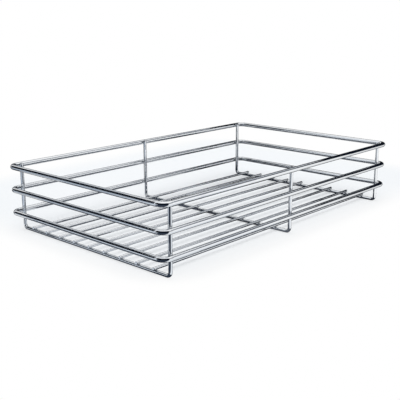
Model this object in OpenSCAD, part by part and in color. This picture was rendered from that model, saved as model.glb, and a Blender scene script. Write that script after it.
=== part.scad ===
// Welded wire basket that lies in a pull-out cabinet frame.
//
// Three rounded rings of thick wire are welded round the outside of three U-shaped hoops,
// and nine straight wires lie along the bottom of the hoops as the floor. The basket rests
// on the undersides of the hoops.
//
// Every crossing is a cross-wire weld. The two wires are pressed into each other by a share
// of the thinner one: it carries a saddle cut by the thicker wire's own cylinder, so they
// meet face to face, and a collar of squeezed-out metal closes the gap around the spot.
//
// Millimetres. The origin is the middle of the footprint, on the surface that the hoops
// stand on, with +X along the basket and +Z up.

/* [Basket] */
// Length over the rings
basket_l = 507; // [360:1:600]
// Width over the rings
basket_w = 307; // [220:1:420]

/* [Rings] */
// Thickness of the ring wire
ring_d = 7; // [6:0.5:8]
// Outside radius of the corners of a ring
ring_corner_r = 15; // [12:0.5:40]
// Height of the middle of the lower ring
lower_ring_z = 27; // [18:0.5:50]
// Step from one ring up to the next, middle to middle
ring_step = 32.5; // [20:0.5:60]

/* [Hoops] */
// Thickness of the hoop wire
hoop_d = 5; // [4.5:0.5:6]
// Inside radius of the two bends at the foot of a hoop
hoop_bend_r = 3; // [2:0.5:8]
// From the end of a ring's corner to the middle of the end hoop
hoop_setback = 4; // [3.5:0.5:60]
// How far the legs stand above the middle of the top ring
leg_rise = 3; // [3:0.5:12]

/* [Floor] */
// Thickness of the floor wires
floor_d = 4; // [3.5:0.5:5]
// From the middle of a leg to the middle of the outermost floor wire
floor_margin = 24.5; // [15:0.5:40]
// How far a floor wire runs past the outer side of the end hoops
floor_overhang = 1.5; // [0.5:0.5:10]

/* [Welds and wire ends] */
// How deep two crossing wires are pressed together, in percent of the thinner one
weld_setdown = 8; // [5:1:10]
// Width of the metal squeezed out past the pressed spot
weld_flash = 0.6; // [0.4:0.05:0.7]
// Bevel round the cut end of a wire
end_bevel = 0.4; // [0.2:0.1:1]

/* [Hidden] */

$fn = 48;
weld_fn = 144;

// The floor has an odd number of wires, one of them down the middle
floor_count = 9;

// Centreline of the rings: half the length, half the width and the corner radius
ring_x = (basket_l - ring_d) / 2;
ring_y = (basket_w - ring_d) / 2;
ring_bend_r = ring_corner_r - ring_d / 2;

// Middle heights of the three rings
middle_ring_z = lower_ring_z + ring_step;
top_ring_z = middle_ring_z + ring_step;
RING_ZS = [lower_ring_z, middle_ring_z, top_ring_z];

// Depth by which two crossing wires are pressed into each other
function sink(first_d, second_d) = min(first_d, second_d) * weld_setdown / 100;

// The legs stand against the inner side of the rings
leg_y = ring_y - (ring_d + hoop_d) / 2 + sink(ring_d, hoop_d);
leg_top_z = top_ring_z + leg_rise;

// Centreline of a hoop: its foot lies on the surface, with a bend up into each leg
foot_z = hoop_d / 2;
foot_bend_r = hoop_bend_r + hoop_d / 2;

// The end hoops stand on the straight sides, just past the corners of the rings
end_hoop_x = basket_l / 2 - ring_corner_r - hoop_setback;
HOOP_XS = [-end_hoop_x, 0, end_hoop_x];

// The floor wires lie on the feet of the hoops, spread evenly between the outermost two
floor_z = foot_z + (hoop_d + floor_d) / 2 - sink(hoop_d, floor_d);
floor_half_l = end_hoop_x + hoop_d / 2 + floor_overhang;
floor_half_w = leg_y - floor_margin;
floor_pitch = 2 * floor_half_w / (floor_count - 1);
function floor_y(i) = -floor_half_w + i * floor_pitch;

// Width of the flat that a weld collar shows beside the thinner wire
weld_shoulder = 0.05;

// ---- wire ----

// Straight wire along +Z from z = 0, with square ends
module rod(d, length) cylinder(d = d, h = length);

// Bevelled cut end of a wire: stands on z = 0 and ends at z = end_bevel
module cut_end(d) cylinder(d1 = d, d2 = d - 2 * end_bevel, h = end_bevel);

// Quarter bend round the Z axis, from +X to +Y, of centreline radius bend_r
module quarter_bend(d, bend_r) rotate_extrude(angle = 90) translate([bend_r, 0]) circle(d = d);

// Straight wire along X, centred on x = 0, for cutting saddles
module cross_x(d) rotate([0, 90, 0]) cylinder(d = d, h = 4 * d, center = true);

// Straight wire along Y, centred on y = 0, for cutting saddles
module cross_y(d) rotate([90, 0, 0]) cylinder(d = d, h = 4 * d, center = true);

// ---- rings ----

// Closed ring of one wire: four straight sides and four quarter bends
module ring(z) {
    side_x = ring_x - ring_bend_r;
    side_y = ring_y - ring_bend_r;
    translate([0, 0, z]) {
        for (s = [-1, 1]) {
            translate([-side_x, s * ring_y, 0]) rotate([0, 90, 0]) rod(ring_d, 2 * side_x);
            translate([s * ring_x, side_y, 0]) rotate([90, 0, 0]) rod(ring_d, 2 * side_y);
        }
        translate([side_x, side_y, 0]) quarter_bend(ring_d, ring_bend_r);
        translate([-side_x, side_y, 0]) rotate([0, 0, 90]) quarter_bend(ring_d, ring_bend_r);
        translate([-side_x, -side_y, 0]) rotate([0, 0, 180]) quarter_bend(ring_d, ring_bend_r);
        translate([side_x, -side_y, 0]) rotate([0, 0, 270]) quarter_bend(ring_d, ring_bend_r);
    }
}

module top_ring() color("silver") ring(top_ring_z);
module middle_ring() color("silver") ring(middle_ring_z);
module lower_ring() color("silver") ring(lower_ring_z);

// ---- hoops ----

// One bent wire in the YZ plane: a foot, two bends and two legs with bevelled tops
module hoop_wire() {
    foot_y = leg_y - foot_bend_r;
    leg_foot_z = foot_z + foot_bend_r;
    translate([0, foot_y, foot_z]) rotate([90, 0, 0]) rod(hoop_d, 2 * foot_y);
    for (s = [0, 1]) mirror([0, s, 0]) {
        translate([0, foot_y, leg_foot_z]) rotate([0, 90, 0]) quarter_bend(hoop_d, foot_bend_r);
        translate([0, leg_y, leg_foot_z]) {
            rod(hoop_d, leg_top_z - end_bevel - leg_foot_z);
            translate([0, 0, leg_top_z - end_bevel - leg_foot_z]) cut_end(hoop_d);
        }
    }
}

// A hoop with a saddle in each leg at every ring
module hoop(x) translate([x, 0, 0]) difference() {
    hoop_wire();
    for (z = RING_ZS, s = [-1, 1]) translate([0, s * ring_y, z]) cross_x(ring_d);
}

module left_hoop() color("gainsboro") hoop(HOOP_XS[0]);
module middle_hoop() color("gainsboro") hoop(HOOP_XS[1]);
module right_hoop() color("gainsboro") hoop(HOOP_XS[2]);

// ---- floor ----

// A straight floor wire with bevelled ends and a saddle on the foot of every hoop
module floor_wire(i) color("gainsboro") translate([0, floor_y(i), floor_z]) difference() {
    body_half_l = floor_half_l - end_bevel;
    union() {
        translate([-body_half_l, 0, 0]) rotate([0, 90, 0]) rod(floor_d, 2 * body_half_l);
        for (s = [0, 1]) mirror([s, 0, 0])
            translate([body_half_l, 0, 0]) rotate([0, 90, 0]) cut_end(floor_d);
    }
    for (x = HOOP_XS) translate([x, 0, foot_z - floor_z]) cross_y(hoop_d);
}

// ---- welds ----

// Collar of squeezed-out metal round a weld. The first wire lies along Y at z = 0, and the
// second crosses it along X above; the collar fills the gap between them around the spot.
// Its blank reaches past the pressed spot by weld_flash, or as far as the thinner wire lets
// it, and is cut off just where it comes clear of that wire's flanks.
module weld_collar(first_d, second_d) {
    $fn = weld_fn;
    depth = sink(first_d, second_d);
    thin_r = min(first_d, second_d) / 2;
    thick_r = max(first_d, second_d) / 2;
    spot_r = sqrt(thick_r ^ 2 - (thick_r - depth) ^ 2);
    collar_r = min(spot_r + weld_flash, thin_r - weld_shoulder);
    root = thin_r - sqrt(thin_r ^ 2 - (collar_r - weld_shoulder) ^ 2);
    difference() {
        translate([0, 0, (first_d - depth) / 2])
            cylinder(r = collar_r, h = 2 * root - depth, center = true);
        cross_y(first_d);
        translate([0, 0, (first_d + second_d) / 2 - depth]) cross_x(second_d);
    }
}

// The six collars of one ring, one on each leg
module ring_welds(z) color("darkgray")
    for (x = HOOP_XS, s = [0, 1]) mirror([0, s, 0])
        translate([x, leg_y, z]) rotate([-90, 0, 0]) weld_collar(hoop_d, ring_d);

// The nine collars along the foot of one hoop, one under each floor wire
module floor_welds(x) color("darkgray")
    for (i = [0 : floor_count - 1])
        translate([x, floor_y(i), foot_z]) weld_collar(hoop_d, floor_d);

module top_ring_welds() ring_welds(top_ring_z);
module middle_ring_welds() ring_welds(middle_ring_z);
module lower_ring_welds() ring_welds(lower_ring_z);
module left_floor_welds() floor_welds(HOOP_XS[0]);
module middle_floor_welds() floor_welds(HOOP_XS[1]);
module right_floor_welds() floor_welds(HOOP_XS[2]);

// ---- assembly ----

top_ring();
middle_ring();
lower_ring();
left_hoop();
middle_hoop();
right_hoop();
floor_wire(0);  // floor_wire_1
floor_wire(1);  // floor_wire_2
floor_wire(2);  // floor_wire_3
floor_wire(3);  // floor_wire_4
floor_wire(4);  // floor_wire_5
floor_wire(5);  // floor_wire_6
floor_wire(6);  // floor_wire_7
floor_wire(7);  // floor_wire_8
floor_wire(8);  // floor_wire_9
top_ring_welds();
middle_ring_welds();
lower_ring_welds();
left_floor_welds();
middle_floor_welds();
right_floor_welds();
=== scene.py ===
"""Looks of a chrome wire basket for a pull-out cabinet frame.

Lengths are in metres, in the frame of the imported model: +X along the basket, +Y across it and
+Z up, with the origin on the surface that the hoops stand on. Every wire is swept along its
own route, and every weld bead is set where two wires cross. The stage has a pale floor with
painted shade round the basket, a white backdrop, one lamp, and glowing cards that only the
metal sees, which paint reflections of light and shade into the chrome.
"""
import math
import random

import bpy
from mathutils import Matrix, Vector


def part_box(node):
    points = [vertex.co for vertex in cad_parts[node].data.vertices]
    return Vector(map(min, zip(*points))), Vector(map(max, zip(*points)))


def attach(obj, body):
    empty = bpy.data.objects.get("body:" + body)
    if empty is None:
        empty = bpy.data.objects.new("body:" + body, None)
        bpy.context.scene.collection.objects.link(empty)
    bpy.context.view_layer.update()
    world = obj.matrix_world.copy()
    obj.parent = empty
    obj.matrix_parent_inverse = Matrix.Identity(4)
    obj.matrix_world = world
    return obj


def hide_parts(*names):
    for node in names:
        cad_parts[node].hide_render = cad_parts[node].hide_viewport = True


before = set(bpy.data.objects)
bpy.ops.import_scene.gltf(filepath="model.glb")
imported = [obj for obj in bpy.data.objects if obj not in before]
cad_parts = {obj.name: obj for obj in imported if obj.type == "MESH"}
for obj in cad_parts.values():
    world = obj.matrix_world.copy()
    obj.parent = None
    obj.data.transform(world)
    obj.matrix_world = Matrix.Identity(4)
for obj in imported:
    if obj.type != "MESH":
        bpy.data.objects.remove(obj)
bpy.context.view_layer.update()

MM = 0.001
BODY = "root"
RINGS = ("top_ring", "middle_ring", "lower_ring")
HOOPS = ("left_hoop", "middle_hoop", "right_hoop")
FLOOR_WIRES = [f"floor_wire_{i}" for i in range(1, 10)]

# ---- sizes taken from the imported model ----


def middle(node):
    """Middle of a node's box."""
    low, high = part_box(node)
    return (low + high) / 2


def span(node):
    """Size of a node's box."""
    low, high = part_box(node)
    return high - low


RING_D = span("top_ring").z
HOOP_D = span("left_hoop").x
FLOOR_D = span("floor_wire_1").z
RING_ZS = [middle(node).z for node in RINGS]
HOOP_XS = [middle(node).x for node in HOOPS]
FLOOR_YS = [middle(node).y for node in FLOOR_WIRES]
FLOOR_Z = middle("floor_wire_1").z

# Centrelines
RING_X = (span("top_ring").x - RING_D) / 2
RING_Y = (span("top_ring").y - RING_D) / 2
LEG_Y = (span("left_hoop").y - HOOP_D) / 2
LEG_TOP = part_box("left_hoop")[1].z
FOOT_Z = HOOP_D / 2
FLOOR_END = span("floor_wire_1").x / 2

# ---- sizes of the wire work ----

# Bend radii of the centreline: a ring's corner is 15 mm outside, a hoop's bend 3 mm inside
RING_BEND = 15 * MM - RING_D / 2
FOOT_BEND = 3 * MM + HOOP_D / 2
BEND_STEPS = 16
STRAIGHT_STEP = 3 * MM

# Sides of each wire's round section, and the reach within which its points become one
RING_SIDES = 40
HOOP_SIDES = 32
FLOOR_SIDES = 28
MERGE_REACH = 0.001 * MM

# Cut ends: a rounded bevel, then a face that rises by the crown from a share of the radius
END_BEVEL = 0.4 * MM
END_STEPS = 5
END_CROWN = 0.004 * MM
END_CROWN_START = 0.6

# Butt weld that closes a ring: a slight waist in the back run
SEAM_X = 60 * MM
SEAM_DIP = 0.012
SEAM_HALF = 1.2 * MM

# Weld beads, their uneven swell, and the duller zone round them
BEAD_FLASH = 0.6 * MM
BEAD_FULLNESS = 0.45
BEAD_SINK = 0.02 * MM
BEAD_SHOULDER = 0.1 * MM
BEAD_WAVES = (1, 2, 3, 5)
BEAD_SWELL = (0.03, 0.1)
BEAD_TURNS = 48
BEAD_STEPS = 6
BEAD_SEED = 4
BEAD_FLIP_CHANCE = 0.5
HAZE_REACH = 4 * MM

# ---- routes ----


def straight(start, end):
    """Points from start to end, without the end itself."""
    count = max(1, round((end - start).length / STRAIGHT_STEP))
    return [start.lerp(end, i / count) for i in range(count)]


def bend(corner, arriving, leaving, radius):
    """Points round a right-angled corner, from the end of one run to the start of the next."""
    centre = corner - arriving * radius + leaving * radius
    turns = [math.pi / 2 * i / BEND_STEPS for i in range(BEND_STEPS)]
    return [centre - leaving * radius * math.cos(a) + arriving * radius * math.sin(a) for a in turns]


def bent_route(corners, radius):
    """Points along a wire through its corners, each rounded to the radius."""
    points = []
    start = corners[0]
    for corner, following in zip(corners[1:], corners[2:]):
        arriving = (corner - start).normalized()
        leaving = (following - corner).normalized()
        points += straight(start, corner - arriving * radius)
        points += bend(corner, arriving, leaving, radius)
        start = corner + leaving * radius
    points += straight(start, corners[-1])
    return points + [corners[-1]]


def route_mesh(name, points, thickness):
    """Edges along the points, with the wire's share of its full thickness at each."""
    mesh = bpy.data.meshes.new(name)
    mesh.from_pydata(points, [(i, i + 1) for i in range(len(points) - 1)], [])
    mesh.attributes.new("thickness", "FLOAT", "POINT").data.foreach_set("value", thickness)
    return mesh


def ring_route(z):
    """A ring's closed route. It starts and ends at the butt weld on the back run."""
    seam = Vector((SEAM_X, RING_Y, z))
    corners = [Vector((x * RING_X, y * RING_Y, z)) for x, y in ((-1, 1), (-1, -1), (1, -1), (1, 1))]
    points = bent_route([seam, *corners, seam], RING_BEND)
    dips = [math.exp(-(((p - seam).length / SEAM_HALF) ** 2)) for p in points]
    return route_mesh("ring route", points, [1 - SEAM_DIP * dip for dip in dips])


def cut_end(end, inner, radius):
    """A cut end, from the wire outwards: points with the wire's share of its full thickness."""
    outward = (end - inner).normalized()
    rise = END_BEVEL - 2 * END_CROWN
    turns = [math.pi / 2 * i / END_STEPS for i in range(END_STEPS + 1)]
    steps = [(rise * math.sin(a), radius - END_BEVEL * (1 - math.cos(a))) for a in turns]
    steps += [(END_BEVEL - END_CROWN, END_CROWN_START * radius), (END_BEVEL, 0.0)]
    return [(end + outward * (reach - END_BEVEL), r / radius) for reach, r in steps]


def with_cut_ends(points, diameter):
    """Points and thickness of a wire with a cut end at both ends of its route."""
    first = cut_end(points[0], points[1], diameter / 2)
    last = cut_end(points[-1], points[-2], diameter / 2)
    capped = first[::-1] + [(p, 1.0) for p in points[1:-1]] + last
    return [p for p, _ in capped], [share for _, share in capped]


def hoop_route(x):
    """A hoop's route: down the back leg, across the foot and up the front leg."""
    corners = [(LEG_Y, LEG_TOP), (LEG_Y, FOOT_Z), (-LEG_Y, FOOT_Z), (-LEG_Y, LEG_TOP)]
    points = bent_route([Vector((x, y, z)) for y, z in corners], FOOT_BEND)
    return route_mesh("hoop route", *with_cut_ends(points, HOOP_D))


def floor_route(y):
    """A floor wire's straight route."""
    ends = [Vector((side * FLOOR_END, y, FLOOR_Z)) for side in (-1, 1)]
    points = straight(*ends) + [ends[1]]
    return route_mesh("floor route", *with_cut_ends(points, FLOOR_D))


# ---- node trees ----


class Maker:
    """Adds nodes to a tree. An input is given a plain value or the socket that feeds it."""

    def __init__(self, tree):
        self.tree = tree

    def add(self, kind, inputs=None, **settings):
        """Adds a node with its settings, then its inputs by name or number."""
        node = self.tree.nodes.new(kind)
        for name, value in settings.items():
            setattr(node, name, value)
        for key, value in (inputs or {}).items():
            if isinstance(value, bpy.types.NodeSocket):
                self.tree.links.new(value, node.inputs[key])
            else:
                node.inputs[key].default_value = value
        return node

    def math(self, operation, *values, clamp=False):
        """Adds a sum on numbers, and gives its result."""
        node = self.add("ShaderNodeMath", dict(enumerate(values)), operation=operation)
        node.use_clamp = clamp
        return node.outputs[0]

    def vector(self, operation, *values):
        """Adds a sum on vectors, and gives its result."""
        node = self.add("ShaderNodeVectorMath", dict(enumerate(values)), operation=operation)
        return node.outputs[0]


def new_tree(name, kind, inputs, outputs):
    """A node group with named inputs and outputs, as its maker and its two end nodes."""
    tree = bpy.data.node_groups.new(name, kind)
    for side, sockets in (("INPUT", inputs), ("OUTPUT", outputs)):
        for label, socket_kind in sockets:
            tree.interface.new_socket(label, in_out=side, socket_type="NodeSocket" + socket_kind)
    made = Maker(tree)
    return made, made.add("NodeGroupInput"), made.add("NodeGroupOutput")


def end_tree(made, given, result, geometry):
    """Ends a tree: its geometry is made real, takes its finish and goes out."""
    real = made.add("GeometryNodeRealizeInstances", {0: geometry})
    finished = made.add(
        "GeometryNodeSetMaterial",
        {"Geometry": real.outputs[0], "Material": given.outputs["Finish"]},
    )
    made.tree.links.new(finished.outputs[0], result.inputs[0])
    return made.tree


def wire_tree():
    """Sweeps a round wire along its route, with a UV map along and round it in metres."""
    made, given, result = new_tree(
        "Drawn wire",
        "GeometryNodeTree",
        [
            ("Route", "Geometry"),
            ("Diameter", "Float"),
            ("Sides", "Int"),
            ("Weld Spots", "Object"),
            ("Haze Reach", "Float"),
            ("Finish", "Material"),
        ],
        [("Wire", "Geometry")],
    )
    thickness = made.add("GeometryNodeInputNamedAttribute", {"Name": "thickness"}, data_type="FLOAT")
    curve = made.add("GeometryNodeMeshToCurve", {"Mesh": given.outputs["Route"]})
    along = made.add("GeometryNodeCaptureAttribute", {"Geometry": curve.outputs[0]}, domain="POINT")
    along.capture_items.new("FLOAT", "Along")
    length = made.add("GeometryNodeSplineParameter").outputs["Length"]
    made.tree.links.new(length, along.inputs["Along"])
    section = made.add(
        "GeometryNodeCurveArc",
        {
            "Resolution": made.math("ADD", given.outputs["Sides"], 1),
            "Radius": made.math("MULTIPLY", given.outputs["Diameter"], 0.5),
            "Start Angle": 0.0,
            "Sweep Angle": math.tau,
        },
        mode="RADIUS",
    )
    around = made.add("GeometryNodeCaptureAttribute", {"Geometry": section.outputs[0]}, domain="POINT")
    around.capture_items.new("FLOAT", "Around")
    turn = made.add("GeometryNodeSplineParameter").outputs["Length"]
    made.tree.links.new(turn, around.inputs["Around"])
    swept = made.add(
        "GeometryNodeCurveToMesh",
        {
            "Curve": along.outputs["Geometry"],
            "Profile Curve": around.outputs["Geometry"],
            "Scale": thickness.outputs["Attribute"],
        },
    )
    place = made.add(
        "ShaderNodeCombineXYZ", {"X": along.outputs["Along"], "Y": around.outputs["Around"]}
    )
    mapped = made.add(
        "GeometryNodeStoreNamedAttribute",
        {"Geometry": swept.outputs[0], "Name": "wire_uv", "Value": place.outputs[0]},
        data_type="FLOAT2",
        domain="CORNER",
    )
    closed = made.add(
        "GeometryNodeMergeByDistance", {"Geometry": mapped.outputs[0], "Distance": MERGE_REACH}
    )
    spots = made.add("GeometryNodeObjectInfo", {"Object": given.outputs["Weld Spots"]})
    nearest = made.add(
        "GeometryNodeProximity", {0: spots.outputs["Geometry"]}, target_element="POINTS"
    )
    near = made.math("DIVIDE", nearest.outputs["Distance"], given.outputs["Haze Reach"])
    haze = made.add(
        "GeometryNodeStoreNamedAttribute",
        {
            "Geometry": closed.outputs[0],
            "Name": "weld_haze",
            "Value": made.math("SUBTRACT", 1.0, near, clamp=True),
        },
        data_type="FLOAT",
        domain="POINT",
    )
    smooth = made.add("GeometryNodeSetShadeSmooth", {0: haze.outputs[0]})
    return end_tree(made, given, result, smooth.outputs[0])


def bead_tree():
    """Sets a weld bead on each spot, half of them turned round, those in front facing forward."""
    made, given, result = new_tree(
        "Weld beads",
        "GeometryNodeTree",
        [
            ("Spots", "Geometry"),
            ("Bead", "Object"),
            ("Half Turn", "Vector"),
            ("Front Turn", "Float"),
            ("Seed", "Int"),
            ("Finish", "Material"),
        ],
        [("Beads", "Geometry")],
    )
    position = made.add("GeometryNodeInputPosition")
    y = made.add("ShaderNodeSeparateXYZ", {0: position.outputs[0]}).outputs["Y"]
    front = made.math("MULTIPLY", made.math("LESS_THAN", y, 0.0), given.outputs["Front Turn"])
    chance = made.add(
        "FunctionNodeRandomValue",
        {"Probability": BEAD_FLIP_CHANCE, "Seed": given.outputs["Seed"]},
        data_type="BOOLEAN",
    )
    flipped = next(socket for socket in chance.outputs if socket.enabled)
    half = made.add(
        "ShaderNodeVectorMath", {0: given.outputs["Half Turn"], "Scale": flipped}, operation="SCALE"
    )
    facing = made.add("ShaderNodeCombineXYZ", {"Z": front})
    bead = made.add("GeometryNodeObjectInfo", {"Object": given.outputs["Bead"]})
    placed = made.add(
        "GeometryNodeInstanceOnPoints",
        {
            "Points": given.outputs["Spots"],
            "Instance": bead.outputs["Geometry"],
            "Rotation": made.vector("ADD", half.outputs[0], facing.outputs[0]),
        },
    )
    return end_tree(made, given, result, placed.outputs[0])


# ---- pieces ----


def new_object(name, mesh):
    """An object in the scene with the mesh."""
    obj = bpy.data.objects.new(name, mesh)
    bpy.context.scene.collection.objects.link(obj)
    return obj


def make_piece(name, node, mesh, tree, values):
    """Runs a node tree on a mesh and keeps the result as a plain piece that stands for its node."""
    carrier = new_object("carrier", mesh)
    modifier = carrier.modifiers.new("make", "NODES")
    modifier.node_group = tree
    for socket in tree.interface.items_tree:
        if socket.in_out == "INPUT" and socket.name in values:
            modifier[socket.identifier] = values[socket.name]
    evaluated = carrier.evaluated_get(bpy.context.evaluated_depsgraph_get())
    piece = new_object(name, bpy.data.meshes.new_from_object(evaluated))
    piece.data.name = name
    bpy.data.objects.remove(carrier)
    bpy.data.meshes.remove(mesh)
    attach(piece, BODY)
    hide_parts(node)


def spots_mesh(points):
    """Loose vertices, one at the middle of each weld."""
    mesh = bpy.data.meshes.new("weld spots")
    mesh.from_pydata(points, [], [])
    return mesh


def bead_mesh(first_d, second_d, sink):
    """A closed ring of squeezed-out metal between a wire along Y, below, and one along X, above."""
    first_r, second_r = first_d / 2, second_d / 2
    limit = min(first_r, second_r) - BEAD_SHOULDER
    chance = random.Random(BEAD_SEED)
    waves = [(k, chance.uniform(0, math.tau), chance.uniform(*BEAD_SWELL)) for k in BEAD_WAVES]
    points = []
    for i in range(BEAD_TURNS):
        turn = math.tau * i / BEAD_TURNS
        across = Vector((math.cos(turn), math.sin(turn), 0))
        spot = math.sqrt(2 * sink / (across.x**2 / first_r + across.y**2 / second_r))
        swell = 1 + sum(size * math.sin(k * turn + phase) for k, phase, size in waves)
        edge = min(spot + BEAD_FLASH * swell, limit)
        lower = math.sqrt(first_r**2 - (edge * across.x) ** 2) - first_r + sink / 2
        upper = second_r - sink / 2 - math.sqrt(second_r**2 - (edge * across.y) ** 2)
        foot = across * edge + Vector((0, 0, lower - BEAD_SINK))
        head = across * edge + Vector((0, 0, upper + BEAD_SINK))
        waist = across * (spot + BEAD_FULLNESS * (edge - spot)) + Vector((0, 0, (lower + upper) / 2))
        # The inner edge lies hidden inside the pressed wires
        points.append(across * spot / 2)
        for j in range(BEAD_STEPS + 1):
            u = j / BEAD_STEPS
            points.append(foot * (1 - u) ** 2 + waist * 2 * u * (1 - u) + head * u**2)
    row = BEAD_STEPS + 2
    faces = []
    for i in range(BEAD_TURNS):
        here, there = i * row, (i + 1) % BEAD_TURNS * row
        for j in range(row):
            k = (j + 1) % row
            faces.append((here + j, there + j, there + k, here + k))
    mesh = bpy.data.meshes.new("bead")
    mesh.from_pydata(points, [], faces)
    mesh.shade_smooth()
    return mesh


def weld_sink(first_d, second_d, distance):
    """Depth by which two crossing wires are pressed into each other."""
    return (first_d + second_d) / 2 - distance


LEG_SINK = weld_sink(RING_D, HOOP_D, RING_Y - LEG_Y)
FOOT_SINK = weld_sink(HOOP_D, FLOOR_D, FLOOR_Z - FOOT_Z)
LEG_SPOT_Y = LEG_Y + (HOOP_D - LEG_SINK) / 2
FOOT_SPOT_Z = FOOT_Z + (HOOP_D - FOOT_SINK) / 2


def ring_spots(z):
    """Middles of a ring's welds, one on each leg."""
    return [Vector((x, side * LEG_SPOT_Y, z)) for x in HOOP_XS for side in (-1, 1)]


def foot_spots(x):
    """Middles of the welds on a hoop's foot, one under each floor wire."""
    return [Vector((x, y, FOOT_SPOT_Z)) for y in FLOOR_YS]


# ---- finishes ----

# Chrome plate on wire: clean, under the film of handling, close to a weld, and at grazing angles
PLATE = (0.90, 0.92, 0.94, 1)
FILMED_PLATE = (0.82, 0.84, 0.87, 1)
HAZED_PLATE = (0.55, 0.56, 0.58, 1)
EDGE_TINT = (0.04, 0.045, 0.06, 1)

# Draw lines: range of the noise that counts as a line, size, added roughness and relief
LINE_RANGE = (0.52, 0.75)
LINE_DETAIL = 3.0
LINE_LENGTH = 30 * MM
LINE_ROUGHNESS = 0.02
LINE_STRENGTH = 0.15
LINE_RELIEF = 0.01 * MM

# Film of handling: how softly its patches fade, their size and cover, and added roughness
FILM_FADE = 0.25
FILM_DETAIL = 5.0
FILM_PATCH = 22 * MM
FILM_COVER = 0.5
FILM_ROUGHNESS = 0.03

# Duller zone by a weld: added roughness, and share of its colour
HAZE_ROUGHNESS = 0.14
HAZE_SHARE = 0.5

# Weld metal: clean, under its film, and its grit
WELD_PLATE = (0.84, 0.86, 0.88, 1)
WELD_FILM = (0.62, 0.62, 0.63, 1)
WELD_PATCH = 1.2 * MM
WELD_COVER = 0.6
WELD_ROUGHNESS = 0.42
WELD_FILM_ROUGHNESS = 0.15
GRIT_PER_METRE = 2600.0
GRIT_STRENGTH = 0.5
GRIT_RELIEF = 0.05 * MM

# Sockets by which a Mix node blends colours
MIX_SHARE, MIX_FIRST, MIX_SECOND, MIX_RESULT = 0, 6, 7, 2


def draw_lines_group():
    """Fine lines that a drawing die leaves along a wire, as a height and a mask."""
    made, given, result = new_tree(
        "Draw lines",
        "ShaderNodeTree",
        [("Place", "Vector"), ("Line Length", "Float"), ("Line Pitch", "Float")],
        [("Height", "Float"), ("Mask", "Float")],
    )
    part = made.add("ShaderNodeSeparateXYZ", {0: given.outputs["Place"]})
    stretched = made.add(
        "ShaderNodeCombineXYZ",
        {
            "X": made.math("DIVIDE", part.outputs["X"], given.outputs["Line Length"]),
            "Y": made.math("DIVIDE", part.outputs["Y"], given.outputs["Line Pitch"]),
        },
    )
    noise = made.add(
        "ShaderNodeTexNoise", {"Vector": stretched.outputs[0], "Scale": 1.0, "Detail": LINE_DETAIL}
    )
    mask = made.add(
        "ShaderNodeMapRange",
        {"Value": noise.outputs[0], "From Min": LINE_RANGE[0], "From Max": LINE_RANGE[1]},
        interpolation_type="SMOOTHSTEP",
    )
    made.tree.links.new(noise.outputs[0], result.inputs["Height"])
    made.tree.links.new(mask.outputs[0], result.inputs["Mask"])
    return made.tree


def handling_group():
    """Faint cloudy film that handling leaves on polished metal, as a mask."""
    made, given, result = new_tree(
        "Handling film",
        "ShaderNodeTree",
        [("Place", "Vector"), ("Patch Size", "Float"), ("Cover", "Float")],
        [("Mask", "Float")],
    )
    scaled = made.add(
        "ShaderNodeVectorMath",
        {0: given.outputs["Place"], "Scale": made.math("DIVIDE", 1.0, given.outputs["Patch Size"])},
        operation="SCALE",
    )
    cloud = made.add(
        "ShaderNodeTexNoise", {"Vector": scaled.outputs[0], "Scale": 1.0, "Detail": FILM_DETAIL}
    )
    start = made.math("SUBTRACT", 1.0, given.outputs["Cover"])
    full = made.math("ADD", start, FILM_FADE)
    mask = made.add(
        "ShaderNodeMapRange",
        {"Value": cloud.outputs[0], "From Min": start, "From Max": full},
        interpolation_type="SMOOTHSTEP",
    )
    made.tree.links.new(mask.outputs[0], result.inputs["Mask"])
    return made.tree


def new_material(name):
    """An empty material, and the maker of its nodes."""
    material = bpy.data.materials.new(name)
    material.use_nodes = True
    material.node_tree.nodes.clear()
    return material, Maker(material.node_tree)


def blend_colour(made, share, first, second):
    """A colour that goes from the first to the second as the share goes from 0 to 1."""
    inputs = {MIX_SHARE: share, MIX_FIRST: first, MIX_SECOND: second}
    return made.add("ShaderNodeMix", inputs, data_type="RGBA").outputs[MIX_RESULT]


def film_mask(made, place, patch, cover):
    """Mask of the film of handling, with patches of a size that cover a share of the metal."""
    inputs = {"Place": place, "Patch Size": patch, "Cover": cover}
    return made.add("ShaderNodeGroup", inputs, node_tree=HANDLING_FILM).outputs["Mask"]


def wire_chrome(name, roughness, line_pitch):
    """Polished chrome plate over drawn wire, duller close to the welds."""
    material, made = new_material(name)
    uv = made.add("ShaderNodeUVMap", uv_map="wire_uv")
    place = made.add("ShaderNodeTexCoord")
    lines = made.add(
        "ShaderNodeGroup",
        {"Place": uv.outputs[0], "Line Length": LINE_LENGTH, "Line Pitch": line_pitch},
        node_tree=DRAW_LINES,
    )
    handled = film_mask(made, place.outputs["Object"], FILM_PATCH, FILM_COVER)
    haze = made.add("ShaderNodeAttribute", attribute_name="weld_haze", attribute_type="GEOMETRY")
    dull = made.math("MULTIPLY", haze.outputs["Fac"], haze.outputs["Fac"])
    rough = made.math("MULTIPLY_ADD", lines.outputs["Mask"], LINE_ROUGHNESS, roughness)
    rough = made.math("MULTIPLY_ADD", handled, FILM_ROUGHNESS, rough)
    rough = made.math("MULTIPLY_ADD", dull, HAZE_ROUGHNESS, rough)
    tint = blend_colour(made, handled, PLATE, FILMED_PLATE)
    tint = blend_colour(made, made.math("MULTIPLY", dull, HAZE_SHARE), tint, HAZED_PLATE)
    relief = made.add(
        "ShaderNodeBump",
        {"Height": lines.outputs["Height"], "Strength": LINE_STRENGTH, "Distance": LINE_RELIEF},
    )
    surface = made.add(
        "ShaderNodeBsdfPrincipled",
        {
            "Base Color": tint,
            "Metallic": 1.0,
            "Roughness": rough,
            "Specular Tint": EDGE_TINT,
            "Normal": relief.outputs[0],
        },
    )
    made.add("ShaderNodeOutputMaterial", {"Surface": surface.outputs[0]})
    return material


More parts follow.
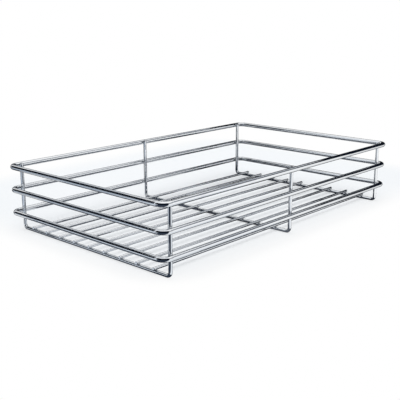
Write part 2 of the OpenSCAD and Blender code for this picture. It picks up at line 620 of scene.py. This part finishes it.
def weld_chrome(name):
    """Chrome plate over rough weld metal."""
    material, made = new_material(name)
    place = made.add("ShaderNodeTexCoord").outputs["Object"]
    handled = film_mask(made, place, WELD_PATCH, WELD_COVER)
    grit = made.add("ShaderNodeTexNoise", {"Vector": place, "Scale": GRIT_PER_METRE})
    rough = made.math("MULTIPLY_ADD", handled, WELD_FILM_ROUGHNESS, WELD_ROUGHNESS)
    relief = made.add(
        "ShaderNodeBump",
        {"Height": grit.outputs[0], "Strength": GRIT_STRENGTH, "Distance": GRIT_RELIEF},
    )
    surface = made.add(
        "ShaderNodeBsdfPrincipled",
        {
            "Base Color": blend_colour(made, handled, WELD_PLATE, WELD_FILM),
            "Metallic": 1.0,
            "Roughness": rough,
            "Normal": relief.outputs[0],
        },
    )
    made.add("ShaderNodeOutputMaterial", {"Surface": surface.outputs[0]})
    return material


# Node groups that the finishes share, and a finish for each slot: a wire's is told apart by its
# roughness and the pitch of its draw lines
DRAW_LINES = draw_lines_group()
HANDLING_FILM = handling_group()
FINISHES = {
    "ring_chrome": wire_chrome("ring chrome", 0.02, 0.35 * MM),
    "hoop_chrome": wire_chrome("hoop chrome", 0.02, 0.3 * MM),
    "floor_chrome": wire_chrome("floor chrome", 0.03, 0.25 * MM),
    "weld_chrome": weld_chrome("weld chrome"),
}

# ---- stage ----

# The plain white that shows, and the light that the room gives
WHITE = (1, 1, 1, 1)
ROOM_COLOUR = (0.95, 0.97, 1.0, 1)
ROOM_STRENGTH = 0.5

# The floor, and the pale blue pool of painted shade on it round the basket: its middle and half its
# size, how far it fades past that, its share of the backdrop's glow, and the tint of its painted shade
FLOOR_HALF = 6.0
FLOOR_COLOUR = (0.90, 0.915, 0.93, 1)
SHADE_POOL_MIDDLE = (0.12, 0.14, 0)
SHADE_POOL_HALF = (0.31, 0.23, 0)
SHADE_POOL_FADE = 0.1
SHADE_POOL_GLOW = 0.45
PAINTED_SHADE_TINT = (0.90, 0.925, 0.945, 1)

# The lamp's size, power in watts and place
SOFTBOX_SIZE = (2.4, 2.0)
SOFTBOX_POWER = 26
SOFTBOX_PLACE = (0.2, 0.3, 1.7)

# The camera's place and the way it looks, and its lens and sensor in millimetres
CAMERA_PLACE = (-0.79068, -0.69860, 0.30511)
CAMERA_HEADING = math.radians(42.410)
CAMERA_DIP = math.radians(15.040)
CAMERA_LENS = 65.0
CAMERA_SENSOR = 36


def seen_directly(made):
    """1 for rays that show the background itself: from the camera, or off and through a surface."""
    path = made.add("ShaderNodeLightPath")
    total = made.math("ADD", path.outputs["Is Camera Ray"], path.outputs["Is Glossy Ray"])
    return made.math("ADD", total, path.outputs["Is Transmission Ray"], clamp=True)


def make_floor():
    """A pale floor that takes the shadow, and round the basket a pool of painted pale blue shade that
    fades to the white backdrop.
    """
    mesh = bpy.data.meshes.new("floor")
    sides = ((-1, -1), (1, -1), (1, 1), (-1, 1))
    corners = [(x * FLOOR_HALF, y * FLOOR_HALF, 0) for x, y in sides]
    mesh.from_pydata(corners, [], [(0, 1, 2, 3)])
    floor = new_object("floor", mesh)
    material, made = new_material("pale floor")
    place = made.add("ShaderNodeTexCoord").outputs["Object"]
    centred = made.vector("ABSOLUTE", made.vector("SUBTRACT", place, SHADE_POOL_MIDDLE))
    outside = made.vector("MAXIMUM", made.vector("SUBTRACT", centred, SHADE_POOL_HALF), (0, 0, 0))
    distance = made.add("ShaderNodeVectorMath", {0: outside}, operation="LENGTH").outputs["Value"]
    far = made.add(
        "ShaderNodeMapRange",
        {"Value": distance, "From Min": 0.0, "From Max": SHADE_POOL_FADE},
        interpolation_type="SMOOTHSTEP",
    )
    pale = made.add("ShaderNodeBsdfDiffuse", {"Color": FLOOR_COLOUR})
    # Pale blue tint of the pool round the basket: painted shade
    painted_shade_tone = blend_colour(made, far.outputs[0], PAINTED_SHADE_TINT, WHITE)
    white = made.add("ShaderNodeEmission", {"Color": painted_shade_tone, "Strength": 1.0})
    # Inside the pool less of the floor is the backdrop's glow, so the real shadow on the pale floor
    # shows; the pool's tint adds painted shade
    glow = made.add("ShaderNodeMapRange", {"Value": far.outputs[0], "To Min": SHADE_POOL_GLOW})
    share = made.math("MULTIPLY", glow.outputs[0], seen_directly(made))
    mixed = made.add("ShaderNodeMixShader", {0: share, 1: pale.outputs[0], 2: white.outputs[0]})
    made.add("ShaderNodeOutputMaterial", {"Surface": mixed.outputs[0]})
    mesh.materials.append(material)


def make_world():
    """A room that lights softly, and shows as plain white wherever it is seen."""
    world = bpy.data.worlds.new("studio")
    world.use_nodes = True
    bpy.context.scene.world = world
    world.node_tree.nodes.clear()
    made = Maker(world.node_tree)
    room = made.add("ShaderNodeBackground", {"Color": ROOM_COLOUR, "Strength": ROOM_STRENGTH})
    white = made.add("ShaderNodeBackground", {"Color": WHITE, "Strength": 1.0})
    mixed = made.add(
        "ShaderNodeMixShader", {0: seen_directly(made), 1: room.outputs[0], 2: white.outputs[0]}
    )
    made.add("ShaderNodeOutputWorld", {"Surface": mixed.outputs[0]})


# How far off the flags stand and how finely they curve, and how high and how far the mats lie
FLAG_RADIUS = 4.0
FLAG_STEP = math.radians(5)
MAT_HEIGHT = 0.4 * MM
MAT_END = 3.9

# Flags, curved glowing cards round the set that paint dark and light reflections into the metal: name,
# headings and heights in degrees, and colour
PAINTED_REFLECTION_FLAGS = (
    ("low front flag", (-90, -52), (13, 22), (0.30, 0.31, 0.34)),
    ("light front flag", (-52, -32), (13, 22), (0.70, 0.73, 0.77)),
    ("middle front flag", (-90, -40), (22, 36), (0.40, 0.42, 0.45)),
    ("front flag", (-40, -32), (22, 36), (0.06, 0.065, 0.08)),
    ("low right flag", (-33, -18), (1, 8), (0.006, 0.010, 0.018)),
    ("right flag", (-33, 45), (8, 35), (0.006, 0.010, 0.018)),
    ("high front flag", (-90, -12), (36, 45), (0.18, 0.19, 0.22)),
    ("high right flag", (-12, 105), (36, 45), (0.56, 0.59, 0.63)),
    ("back flag", (101, 126), (2, 50), (0.004, 0.007, 0.012)),
    ("far left flag", (126, 142), (2, 35), (0.004, 0.007, 0.012)),
    ("left flag", (126, 151), (0, 2), (0.42, 0.46, 0.53)),
    ("light left flag", (142, 151), (2, 50), (0.72, 0.75, 0.79)),
    ("high left flag", (126, 142), (35, 50), (0.72, 0.75, 0.79)),
    ("near flag", (151, 270), (0, 50), (0.004, 0.007, 0.012)),
    ("top flag", (105, 270), (50, 75), (0.80, 0.82, 0.85)),
)

# Mats, glowing cards close over the floor, seen only in the metal: the dark ones paint the shade on
# the floor under and round the basket into its reflections, the light ones paint highlights. Columns:
# name, reach along X, reach along Y, and colour
PAINTED_REFLECTION_MATS = (
    ("corner mat", (-MAT_END, -0.3), (-MAT_END, -0.05), (0.03, 0.04, 0.06)),
    ("corner front mat", (-0.3, -0.25), (-MAT_END, -0.15), (0.03, 0.04, 0.06)),
    ("bend mat", (-0.3, -0.17), (-0.15, -0.11), (0.03, 0.04, 0.06)),
    ("left front mat", (-0.25, -0.17), (-MAT_END, -0.15), (0.78, 0.81, 0.84)),
    ("front mat", (-0.17, 0.0), (-MAT_END, -0.16), (0.80, 0.83, 0.87)),
    ("left mat", (-MAT_END, -0.3), (-0.05, 0.05), (0.68, 0.73, 0.79)),
    ("back left mat", (-MAT_END, -0.3), (0.05, 0.15), (0.40, 0.45, 0.53)),
    ("far left mat", (-MAT_END, -0.3), (0.15, MAT_END), (0.38, 0.43, 0.50)),
    ("behind mat", (-0.3, 0.0), (0.25, 0.6), (0.02, 0.025, 0.03)),
    ("outer edge mat", (-0.3, -0.254), (-0.11, 0.15), (0.10, 0.12, 0.15)),
    ("foot mat", (-0.254, -0.243), (-0.11, 0.15), (0.62, 0.67, 0.74)),
    ("under foot mat", (-0.243, -0.232), (-0.11, 0.15), (0.06, 0.07, 0.09)),
    ("wire end mat", (-0.232, -0.195), (-0.11, 0.15), (0.60, 0.63, 0.67)),
    ("edge mat", (-0.195, -0.17), (0.0, 0.15), (0.06, 0.07, 0.09)),
    ("front half mat", (-0.195, -0.17), (-0.11, 0.0), (0.40, 0.42, 0.45)),
    ("under front mat", (-0.17, -0.095), (-0.16, -0.12), (0.10, 0.11, 0.13)),
    ("front edge mat", (-0.095, 0.12), (-0.16, -0.1), (0.10, 0.11, 0.13)),
    ("under left mat", (-0.17, -0.095), (-0.12, 0.03), (0.54, 0.56, 0.59)),
    ("left of hoop mat", (-0.095, -0.03), (-0.1, 0.03), (0.32, 0.34, 0.37)),
    ("under hoop mat", (-0.03, 0.01), (-0.1, 0.03), (0.03, 0.035, 0.045)),
    ("under mat", (0.01, 0.12), (-0.1, 0.03), (0.50, 0.52, 0.55)),
    ("under back mat", (-0.17, 0.05), (0.03, 0.15), (0.06, 0.07, 0.09)),
    ("under middle mat", (0.05, 0.12), (0.03, 0.15), (0.45, 0.47, 0.50)),
    ("under right mat", (0.12, 0.16), (-0.15, MAT_END), (0.20, 0.22, 0.25)),
    ("right mat", (0.16, 0.25), (-0.15, MAT_END), (0.01, 0.015, 0.025)),
    ("far right mat", (0.25, MAT_END), (-0.15, MAT_END), (0.40, 0.42, 0.45)),
)

# Screens, upright glowing cards by the basket, seen only in the metal: the far corner one paints a
# dark reflection, the foot one a painted highlight along the foot. Columns: name, its two ends,
# heights, and colour
PAINTED_REFLECTION_SCREENS = (
    ("far corner screen", (0.40, 0.06), (0.40, 0.24), (0.12, 0.31), (0.004, 0.007, 0.012)),
    ("foot screen", (-0.30, -0.12), (-0.30, 0.15), (0.001, 0.02), (0.76, 0.81, 0.88)),
)


def paint_reflection_card(card, colour):
    """Gives a card a glow of its colour and lets only the metal see it: a painted reflection."""
    material, made = new_material(card.name)
    # The card's colour is a glow that only reflections show: a painted reflection, not a lamp
    glow = made.add("ShaderNodeEmission", {"Color": (*colour, 1)})
    made.add("ShaderNodeOutputMaterial", {"Surface": glow.outputs[0]})
    card.data.materials.append(material)
    card.visible_camera = False
    card.visible_diffuse = False
    card.visible_transmission = False
    card.visible_shadow = False


def make_flat_card(name, corners, colour):
    """A flat card between its four corners."""
    mesh = bpy.data.meshes.new(name)
    mesh.from_pydata(corners, [], [(0, 1, 2, 3)])
    paint_reflection_card(new_object(name, mesh), colour)


def make_flag(name, headings, heights, colour):
    """A curved upright card round the set."""
    start, end = map(math.radians, headings)
    count = max(1, round((end - start) / FLAG_STEP))
    turns = [start + (end - start) * i / count for i in range(count + 1)]
    tilts = [math.radians(height) for height in heights]
    rims = [(FLAG_RADIUS * math.cos(a), FLAG_RADIUS * math.sin(a)) for a in tilts]
    points = [(reach * math.cos(a), reach * math.sin(a), z) for reach, z in rims for a in turns]
    row = len(turns)
    mesh = bpy.data.meshes.new(name)
    mesh.from_pydata(points, [], [(i, i + 1, row + i + 1, row + i) for i in range(count)])
    paint_reflection_card(new_object(name, mesh), colour)


def make_mat(name, along, across, colour):
    """A card that lies close over the floor."""
    corners = [(along[i], across[j], MAT_HEIGHT) for i, j in ((0, 0), (1, 0), (1, 1), (0, 1))]
    make_flat_card(name, corners, colour)


def make_screen(name, start, end, heights, colour):
    """A card that stands close by the basket."""
    low, high = heights
    corners = [(*start, low), (*end, low), (*end, high), (*start, high)]
    make_flat_card(name, corners, colour)


def make_softbox():
    """One large lamp overhead, a little behind the basket."""
    data = bpy.data.lights.new("softbox", "AREA")
    data.shape = "RECTANGLE"
    data.size, data.size_y = SOFTBOX_SIZE
    data.energy = SOFTBOX_POWER
    lamp = bpy.data.objects.new("softbox", data)
    lamp.location = SOFTBOX_PLACE
    lamp.rotation_euler = (-lamp.location).to_track_quat("-Z", "Y").to_euler()
    lamp.visible_glossy = False
    bpy.context.scene.collection.objects.link(lamp)


def make_camera():
    """A camera that looks along its heading, tipped down by its dip."""
    data = bpy.data.cameras.new("camera")
    data.sensor_width = CAMERA_SENSOR
    data.lens = CAMERA_LENS
    camera = bpy.data.objects.new("camera", data)
    camera.location = CAMERA_PLACE
    camera.rotation_euler = (math.pi / 2 - CAMERA_DIP, 0, CAMERA_HEADING - math.pi / 2)
    bpy.context.scene.collection.objects.link(camera)
    bpy.context.scene.camera = camera


# ---- the whole ----

all_spots = [p for z in RING_ZS for p in ring_spots(z)] + [p for x in HOOP_XS for p in foot_spots(x)]
spots = new_object("weld spots", spots_mesh(all_spots))
drawn_wire = wire_tree()


def make_wire(node, route, diameter, sides, slot):
    """One bent or straight length of wire along its route."""
    values = {
        "Diameter": diameter,
        "Sides": sides,
        "Weld Spots": spots,
        "Haze Reach": HAZE_REACH,
        "Finish": FINISHES[slot],
    }
    make_piece(node + "_wire", node, route, drawn_wire, values)


for node, z in zip(RINGS, RING_ZS):
    make_wire(node, ring_route(z), RING_D, RING_SIDES, "ring_chrome")
for node, x in zip(HOOPS, HOOP_XS):
    make_wire(node, hoop_route(x), HOOP_D, HOOP_SIDES, "hoop_chrome")
for node, y in zip(FLOOR_WIRES, FLOOR_YS):
    make_wire(node, floor_route(y), FLOOR_D, FLOOR_SIDES, "floor_chrome")

weld_beads = bead_tree()
ring_bead = new_object("ring bead", bead_mesh(HOOP_D, RING_D, LEG_SINK))
ring_bead.data.transform(Matrix.Rotation(-math.pi / 2, 4, "X"))
foot_bead = new_object("foot bead", bead_mesh(HOOP_D, FLOOR_D, FOOT_SINK))


def make_beads(node, points, bead, half_turn, front_turn, seed):
    """The weld beads of one ring or one foot, as one piece."""
    values = {
        "Bead": bead,
        "Half Turn": half_turn,
        "Front Turn": front_turn,
        "Seed": seed,
        "Finish": FINISHES["weld_chrome"],
    }
    make_piece(node + "_beads", node, spots_mesh(points), weld_beads, values)


for seed, (node, z) in enumerate(zip(RINGS, RING_ZS)):
    make_beads(node + "_welds", ring_spots(z), ring_bead, (0, math.pi, 0), math.pi, seed)
for seed, (node, x) in enumerate(zip(HOOPS, HOOP_XS)):
    weld_node = node.replace("hoop", "floor_welds")
    make_beads(weld_node, foot_spots(x), foot_bead, (0, 0, math.pi), 0.0, seed)

for used in (spots, ring_bead, foot_bead):
    bpy.data.objects.remove(used)

make_floor()
make_world()
# Flags, mats and screens glow only in the metal: painted reflections of light and shade
for flag in PAINTED_REFLECTION_FLAGS:
    make_flag(*flag)
for mat in PAINTED_REFLECTION_MATS:
    make_mat(*mat)
for screen in PAINTED_REFLECTION_SCREENS:
    make_screen(*screen)
make_softbox()
make_camera()
bpy.context.scene.view_settings.view_transform = "Standard"
